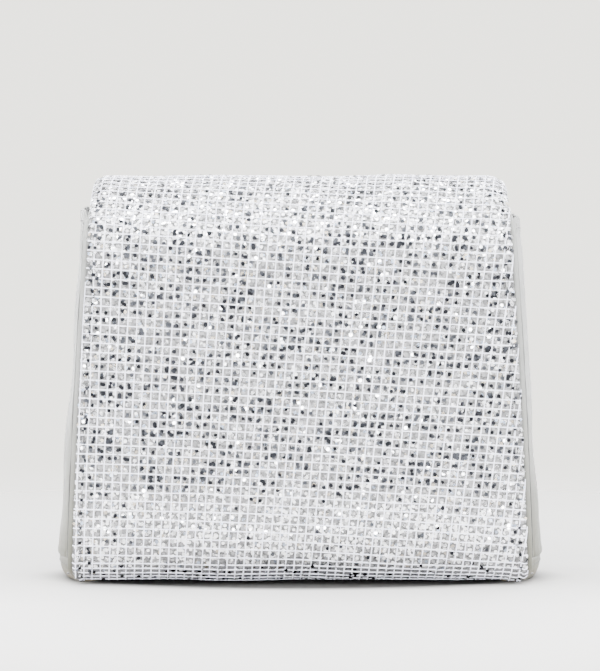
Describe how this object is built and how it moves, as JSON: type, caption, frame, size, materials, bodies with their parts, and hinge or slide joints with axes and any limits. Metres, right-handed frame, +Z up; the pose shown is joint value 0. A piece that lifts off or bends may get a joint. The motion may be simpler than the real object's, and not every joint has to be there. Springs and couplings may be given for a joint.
{
  "type": "evening bag",
  "caption": "Structured evening bag with bulging side gussets and a full-length flap that wraps under the front edge and closes with a magnetic snap.",
  "frame": {"origin": "under the middle of the base, on the surface the bag stands on", "axes": "+X across the bag to the right as seen from the front, +Y from the flap's front face to the back, +Z up"},
  "size_m": [0.1968, 0.074, 0.164],
  "materials": {
    "glitter_mesh": "white square net over silver glitter",
    "pu_leather": "smooth pale grey, satin",
    "board": "plain",
    "wadding": "soft",
    "lining": "twill",
    "snap_metal": "polished",
    "washer_steel": "plain"
  },
  "bodies": {
    "bag": {"back_cover": "glitter_mesh", "back_board": "board", "back_lining": "lining", "slip_pocket": "lining", "front_cover": "pu_leather", "front_board": "board", "front_lining": "lining", "gusset_left": "pu_leather", "gusset_lining_left": "lining", "gusset_right": "pu_leather", "gusset_lining_right": "lining", "base_cover": "pu_leather", "base_board": "board", "base_lining": "lining", "snap_socket": "snap_metal", "snap_socket_washer": "washer_steel"},
    "flap": {"flap_cover": "glitter_mesh", "flap_facing": "pu_leather", "flap_board": "board", "flap_roll_wadding": "wadding", "snap_stud": "snap_metal", "snap_stud_washer": "washer_steel"}
  },
  "joints": [
    {"name": "flap_hinge", "type": "hinge", "parent": "bag", "child": "flap", "pos_m": [0, 0.03189, 0.14616], "axis": [-1, 0, 0], "range_deg": [0, 165]}
  ]
}
